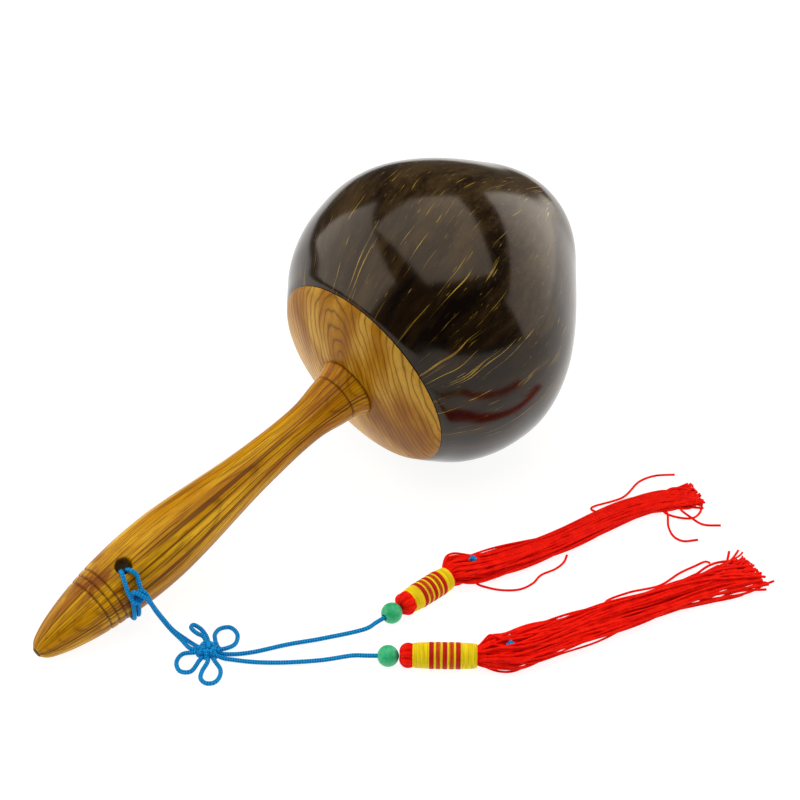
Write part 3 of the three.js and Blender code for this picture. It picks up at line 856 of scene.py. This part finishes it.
def shell_outline():
    """Outside and inside of the shell, from the inner pole round the rim to the far pole."""
    outside = [(RIM_STATION, 34.15), (RIM_STATION + 0.1, 34.4)]
    count = 90
    last_station = HEAD_OUTSIDE[-1][0]
    for i in range(1, count + 1):
        station = RIM_STATION + 0.25 + (last_station - RIM_STATION - 0.25) * i / count
        outside.append((station, outline_at(HEAD_OUTSIDE, station)))
    outside += [(97.62, 2.6), (HEAD_LENGTH, 0.9)]
    inside = [(RIM_STATION, 31.0)]
    for station in range(10, 92, 4):
        slope = (outline_at(HEAD_OUTSIDE, station + 1) - outline_at(HEAD_OUTSIDE, station - 1)) / 2
        lean = math.atan(slope)
        inside.append((station + SHELL_WALL * math.sin(lean),
                       outline_at(HEAD_OUTSIDE, station) - SHELL_WALL * math.cos(lean)))
    inside += [(92.6, 8.0), (94.0, 3.0)]
    return [(94.2, 0), *reversed(inside), *outside, (HEAD_LENGTH + 0.02, 0)]


shell = Surface()
shell.add_turned(shell_outline(), SHELL_SIDES, head_place, head_relief)
settle(shell.build("coconut_head", coconut), "maraca", "coconut", "coconut_shell")

CAP_EDGE = 7.13
cap = Surface()
cap_outline = [(0.25, 0), (0.25, 6.4), (0.25, 11.4)]
for i in range(1, 25):
    station = 0.25 + (CAP_EDGE - 0.35 - 0.25) * (i / 24) ** 1.6
    cap_outline.append((station, max(outline_at(HEAD_OUTSIDE, station), 11.6)))
cap_outline += [(CAP_EDGE - 0.12, 34.3), (CAP_EDGE, 34.05), (CAP_EDGE, 30.8), (12.5, 30.6), (12.5, 6.6),
                (12.5, 0)]
cap.add_turned(cap_outline, CAP_SIDES)
settle(cap.build("turned_cap", cap_wood), "maraca", "cap_wood", "end_cap")


def handle_outline():
    outline = [(-128.02, 0), (-128, 1.2)]
    station = -127.9
    while station < -0.2:
        radius = outline_at(HANDLE_OUTSIDE, station)
        for groove, depth in GROOVES:
            radius -= depth * math.exp(-((station - groove) / 0.32) ** 2)
        outline.append((station, radius))
        near_groove = any(abs(station - groove) < 1.2 for groove, _ in GROOVES)
        station += 0.15 if near_groove else 0.8
    return outline + [(-0.1, 10.3), (0.1, 10.0), (0.12, 6.1), (0.2, 0)]


def hand_turned(station, angle, radius):
    """A turned handle is never quite round: faint flats left by hand finishing."""
    turn = math.radians(angle)
    place = Vector((station * 0.05, math.cos(turn) * 1.3, math.sin(turn) * 1.3))
    return radius * (1 + 0.012 * noise.noise(place))


handle_surface = Surface()
handle_surface.add_turned(handle_outline(), HANDLE_SIDES, None, hand_turned)
handle = handle_surface.build("turned_handle", handle_wood)

drill_surface = Surface()
bore_across = around_axis(HOLE_STATION, HOLE_ANGLE, 1) - around_axis(HOLE_STATION, HOLE_ANGLE, 0)
bore_rings = []
for distance, radius in ((-14, 4.6), (-10.6, 3.05), (-10.1, 2.72), (-9.5, 2.6), (0, 2.6), (9.5, 2.6),
                         (10.1, 2.72), (10.6, 3.05), (14, 4.6)):
    middle = around_axis(HOLE_STATION, HOLE_ANGLE, distance)
    side = bore_across.cross(AXIS)
    turns = [TURN * k / BORE_SIDES for k in range(BORE_SIDES)]
    ring = [middle + (AXIS * math.cos(turn) + side * math.sin(turn)) * radius for turn in turns]
    bore_rings.append(ring)
drill_surface.add_rings(bore_rings, list(range(len(bore_rings))))
drill = drill_surface.build("drill", handle_wood)
cut = handle.modifiers.new("cord_hole", "BOOLEAN")
cut.operation = "DIFFERENCE"
cut.solver = "EXACT"
cut.object = drill
bpy.context.view_layer.update()
drilled = bpy.data.meshes.new_from_object(handle.evaluated_get(bpy.context.evaluated_depsgraph_get()))
handle.modifiers.clear()
handle.data = drilled
bpy.data.objects.remove(drill)
settle(handle, "maraca", "handle_wood", "handle")


# ---- Loose seeds in the shell ---------------------------------------------------------------------

for number in range(1, 9):
    node = "pellet_%d" % number
    low, high = (Vector(corner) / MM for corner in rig.box(node))
    middle = (low + high) / 2
    kernel = Surface()
    rings = []
    for j in range(1, 12):
        lean = math.pi * j / 12
        ring = []
        for k in range(16):
            turn = -TURN * k / 16
            out = Vector((math.sin(lean) * math.cos(turn), math.sin(lean) * math.sin(turn), math.cos(lean)))
            dent = 2.75 + 0.25 * noise.noise(out * 1.5 + Vector((number, 0, 0)))
            ring.append(middle + out * dent)
        rings.append(ring)
    kernel.add_rings(rings, list(range(len(rings))))
    settle(kernel.build("seed_%d" % number, seed), node + "_body", "pellet", node)


# ---- Beads and tassels ----------------------------------------------------------------------------

HEAD_START = BEAD_RADIUS + 0.5
WRAP_START = 7.1
WRAP_RADIUS = 3.9
BAND_RADIUS = 3.98
BAND_COUNT = 5
BAND_PITCH = 1.95
BAND_WIDTH = 1.45
THREAD_PITCH = 0.36
STRAND_RADIUS = 0.38
STRAND_COUNT = 125
STRAND_STEPS = 110
LOCK_COUNT = 17
FOLD_COUNT = 9
BEAD_SIDES = 40
WOUND_SIDES = 48
CORE_RADIUS = 2.9


def end_place(end, station, angle, radius, height=TASSEL_HEIGHT):
    """A point near a tassel's own line, by distance from the bead's centre, angle and radius."""
    heading = math.radians(end["heading"])
    ahead = Vector((math.cos(heading), math.sin(heading), 0))
    side = ahead.cross(UP)
    turn = math.radians(angle)
    middle = along_end(end, station, height)
    return middle + (side * math.cos(turn) + UP * math.sin(turn)) * radius


def bead_piece(name, end):
    """A round bead with its bore, closed on itself like a ring."""
    surface = Surface()
    sides = BEAD_SIDES
    first = math.asin(BEAD_BORE / BEAD_RADIUS)
    rings = []
    rows = []
    profile = []
    for j in range(25):
        lean = first + (math.pi - 2 * first) * j / 24
        profile.append((-BEAD_RADIUS * math.cos(lean), BEAD_RADIUS * math.sin(lean)))
    reach = profile[-1][0] - 0.1
    inner = [(reach - 2 * reach * j / 6, BEAD_BORE - 0.08) for j in range(7)]
    for station, radius in profile + inner:
        rings.append([end_place(end, station, -360 * k / sides, radius, BEAD_HEIGHT) for k in range(sides)])
        rows.append(station)
    total = len(rings)
    for ring in rings:
        surface.points += ring
    for j in range(total):
        for i in range(sides):
            k = (i + 1) % sides
            a, b = j * sides, ((j + 1) % total) * sides
            surface.faces.append((a + i, a + k, b + k, b + i))
            row = rows[j]
            surface.corners += [(row, i / sides), (row, k / sides), (row, k / sides), (row, i / sides)]
    piece = surface.build(name + "_round_bead", green_bead)
    settle(piece, name + "_bead_body", "green_bead", name + "_bead")


def wound_piece(name, end, start, length, radius, material, body, slot, node, crown):
    """Thread wound round a tassel's core: one fine ridge for each turn."""
    turns = max(2, round(length / THREAD_PITCH))
    outline = [(start, 0), (start, CORE_RADIUS + 0.3)]
    for i in range(turns * 6 + 1):
        share = i / (turns * 6)
        ridge = 0.10 * abs(math.sin(math.pi * share * turns)) ** 0.7
        end_round = crown * (2 * share - 1) ** 4
        outline.append((start + length * share, radius - 0.10 + ridge - end_round))
    outline += [(start + length, CORE_RADIUS + 0.3), (start + length, 0)]
    surface = Surface()

    def place(station, angle, size):
        return end_place(end, station, angle, size)

    def relief(station, angle, size):
        turn = math.radians(angle)
        waver = noise.noise(Vector((station * 1.7, math.cos(turn), math.sin(turn))))
        return size * (1 + 0.008 * waver)

    surface.add_turned(outline, WOUND_SIDES, place, relief)
    settle(surface.build(name, material), body, slot, node)


def section_at(stations, share):
    """Centre, half width and half height of a skirt at a share of its length."""
    place = share * (len(stations) - 1)
    i = min(int(place), len(stations) - 2)
    t = place - i
    near = [stations[max(i - 1, 0)], stations[i], stations[i + 1], stations[min(i + 2, len(stations) - 1)]]
    values = []
    for a, b, c, d in zip(*near):
        values.append(0.5 * (2 * b + (c - a) * t + (2 * a - 5 * b + 4 * c - d) * t * t
                             + (3 * b - a - 3 * c + d) * t ** 3))
    return Vector(values[:3]), values[3], values[4]


def strand_piece(name, end):
    """The tassel's threads: folded head, core, and the loose skirt."""
    draw = random.Random(end["seed"])
    surface = Surface()
    wrap_end = WRAP_START + end["wrap_length"]
    core = [(HEAD_START + 0.5, 0), (HEAD_START + 0.5, 1.0), (HEAD_START + 1.2, 2.4),
            (WRAP_START, CORE_RADIUS), (wrap_end + 1.5, CORE_RADIUS - 0.2),
            (wrap_end + 3.5, 1.5), (wrap_end + 3.5, 0)]
    surface.add_turned(core, 24, lambda station, angle, radius: end_place(end, station, angle, radius))
    for k in range(FOLD_COUNT):
        angle = 360 * (k + draw.uniform(-0.2, 0.2)) / FOLD_COUNT
        fold = [end_place(end, HEAD_START + 0.70, angle, 0.6), end_place(end, HEAD_START + 0.58, angle, 1.5),
                end_place(end, HEAD_START + 1.1, angle, 2.4), end_place(end, HEAD_START + 2.0, angle, 2.8),
                end_place(end, WRAP_START - 0.2, angle, 2.5), end_place(end, WRAP_START + 0.8, angle, 1.8)]
        surface.add_tube(smooth_path(fold, 0.3), draw.uniform(0.92, 1.05), 12)
    leave = end_place(end, wrap_end, 0, 0)
    stations = [(*leave, 2.9, 2.9), *end["skirt"]]
    golden = math.pi * (3 - math.sqrt(5))
    locks = []
    for k in range(LOCK_COUNT):
        out = math.sqrt((k + 0.5) / LOCK_COUNT) * 0.9
        spin = golden * k + draw.uniform(-0.3, 0.3)
        waves = [(draw.uniform(0.06, 0.19), draw.uniform(0.5, 1.8), draw.uniform(0, TURN)) for _ in range(3)]
        locks.append((out * math.cos(spin), out * math.sin(spin), waves, draw.gauss(0, 0.2)))

    def swing(waves, share):
        return sum(size * math.sin(TURN * rate * share + start) for size, rate, start in waves)

    for i in range(STRAND_COUNT):
        lock_x, lock_z, lock_waves, lock_flare = locks[i % LOCK_COUNT]
        out = 0.30 * math.sqrt(draw.random())
        spin = draw.uniform(0, TURN)
        own_waves = [(draw.uniform(0.02, 0.09), draw.uniform(1.0, 4.5), draw.uniform(0, TURN))
                     for _ in range(3)]
        if draw.random() < 0.14:
            own_waves[0] = (draw.uniform(0.18, 0.42), draw.uniform(0.6, 1.4), draw.uniform(0, TURN))
        reach = 1.01 - abs(draw.gauss(0, 0.055))
        flare = lock_flare + draw.gauss(0, 0.34)
        curl = draw.gauss(0, 0.16)
        path = []
        for j in range(STRAND_STEPS + 1):
            share = reach * j / STRAND_STEPS
            centre, width, height = section_at(stations, share)
            before, _, _ = section_at(stations, max(share - 0.01, 0))
            after, _, _ = section_at(stations, min(share + 0.01, 1))
            ahead = (after - before).normalized()
            side = ahead.cross(UP).normalized()
            settle_in = min(1.0, share * 7)
            shift = (swing(lock_waves, share) + swing(own_waves, share)) * settle_in
            last = max(0.0, share - 0.85) / 0.15
            fan = flare * last ** 1.6 + curl * math.sin(last * 5)
            x = (lock_x + out * math.cos(spin) + shift + fan) * (width - STRAND_RADIUS)
            rise = lock_z + out * math.sin(spin) + swing(own_waves, share + 0.37) * 0.8
            z = rise * (height - STRAND_RADIUS)
            point = centre + side * x + UP * z * (1 - 0.35 * last)
            point.z = max(point.z, STRAND_RADIUS + 0.05)
            path.append(point)
        surface.add_tube(path, STRAND_RADIUS * draw.uniform(0.85, 1.1), 6)
    centres = [section_at(stations, k / 60)[0] for k in range(61)]
    for stray in end["strays"]:
        start = Vector((*stray[0], 1.6))
        inner = min(centres, key=lambda centre: (centre - start).length)
        corners = [start.lerp(inner, 0.7), start]
        corners += [(x, y, 0.8 if k == 0 else 0.5) for k, (x, y) in enumerate(stray[1:])]
        surface.add_tube(smooth_path(corners, 0.6), STRAND_RADIUS, 8)
    piece = surface.build(name + "_threads", red_thread)
    settle(piece, name + "_tassel", "red_thread", name + "_strands")


def cord_knot_piece(name, end):
    """The cord's stopper knot, which shows between the strands."""
    middle = Vector(end["knot"])
    size = 0.62
    loop = []
    for step in range(61):
        turn = TURN * step / 60
        loop.append(middle + Vector((size * (math.sin(turn) + 2 * math.sin(2 * turn)) * 0.45,
                                     size * (math.cos(turn) - 2 * math.cos(2 * turn)) * 0.45,
                                     -size * math.sin(3 * turn) * 0.7)))
    surface = Surface()
    surface.add_tube(loop, 0.55, 12)
    settle(surface.build(name + "_stopper", blue_cord), name + "_tassel", "blue_cord", name + "_cord_knot")


for name, end in ENDS.items():
    body = name + "_tassel"
    bead_piece(name, end)
    strand_piece(name, end)
    cord_knot_piece(name, end)
    length = end["wrap_length"]
    wound_piece(name + "_binding", end, WRAP_START, length, WRAP_RADIUS, yellow_thread, body, "yellow_thread",
                name + "_wrap", 0.35)
    for number in range(BAND_COUNT):
        middle = WRAP_START + length / 2 + (number - (BAND_COUNT - 1) / 2) * BAND_PITCH
        wound_piece("%s_ring_%d" % (name, number + 1), end, middle - BAND_WIDTH / 2, BAND_WIDTH, BAND_RADIUS,
                    band_thread, body, "red_band", "%s_band_%d" % (name, number + 1), 0.12)


# ---- Floor and light ------------------------------------------------------------------------------

FLOOR_RADIUS = 0.75
FLOOR_SIDES = 96
floor_mesh = bpy.data.meshes.new("floor")
floor_turns = [TURN * k / FLOOR_SIDES for k in range(FLOOR_SIDES)]
floor_rim = [(FLOOR_RADIUS * math.cos(turn), FLOOR_RADIUS * math.sin(turn), 0) for turn in floor_turns]
floor_mesh.from_pydata(floor_rim, [], [tuple(range(FLOOR_SIDES))])
floor_look = Look("floor", Roughness=0.9)
floor_look.shader.inputs["Base Color"].default_value = (0.2, 0.2, 0.2, 1)
floor_look.shader.inputs["Emission Color"].default_value = (1, 1, 1, 1)
floor_look.shader.inputs["Emission Strength"].default_value = 0.90
floor_mesh.materials.append(floor_look.material)
floor = bpy.data.objects.new("floor", floor_mesh)
bpy.context.scene.collection.objects.link(floor)
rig.stage(floor)


def soft_box(name, azimuth, elevation, distance, size, radiance):
    """A large dim panel that faces the maraca's head, at a direction in degrees seen from it."""
    turn, lift = math.radians(azimuth), math.radians(elevation)
    aim = Vector((0.03, -0.01, 0.05))
    out = Vector((math.cos(turn) * math.cos(lift), math.sin(turn) * math.cos(lift), math.sin(lift)))
    data = bpy.data.lights.new(name, "AREA")
    data.shape = "RECTANGLE"
    data.size, data.size_y = size
    data.energy = radiance * math.pi * size[0] * size[1]
    data.color = (1.0, 0.94, 0.86)
    light = bpy.data.objects.new(name, data)
    light.location = aim + out * distance
    light.rotation_euler = (-out).to_track_quat("-Z", "Y").to_euler()
    light.visible_camera = False
    bpy.context.scene.collection.objects.link(light)


soft_box("panel_left", 130, 26, 1.2, (1.9, 1.05), 1.85)
soft_box("panel_top", -20, 88, 1.2, (1.7, 1.5), 1.85)
soft_box("panel_right", -27, 15, 1.2, (2.3, 0.95), 1.85)

world = bpy.data.worlds.new("studio")
bpy.context.scene.world = world
world.use_nodes = True
sky = world.node_tree
dim = sky.nodes["Background"]
dim.inputs["Color"].default_value = (1, 1, 1, 1)
dim.inputs["Strength"].default_value = 0.06
pale = sky.nodes.new("ShaderNodeBackground")
pale.inputs["Color"].default_value = (1, 1, 1, 1)
pale.inputs["Strength"].default_value = 1.0
ray = sky.nodes.new("ShaderNodeLightPath")
choice = sky.nodes.new("ShaderNodeMixShader")
sky.links.new(ray.outputs["Is Camera Ray"], choice.inputs[0])
sky.links.new(dim.outputs[0], choice.inputs[1])
sky.links.new(pale.outputs[0], choice.inputs[2])
sky.links.new(choice.outputs[0], sky.nodes["World Output"].inputs["Surface"])
bpy.context.scene.view_settings.view_transform = "Standard"

with open("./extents.json", "w") as file:
    json.dump({"cad": [list(corner) for corner in cad_box], "visual": [list(corner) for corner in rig.bounds()]}, file)
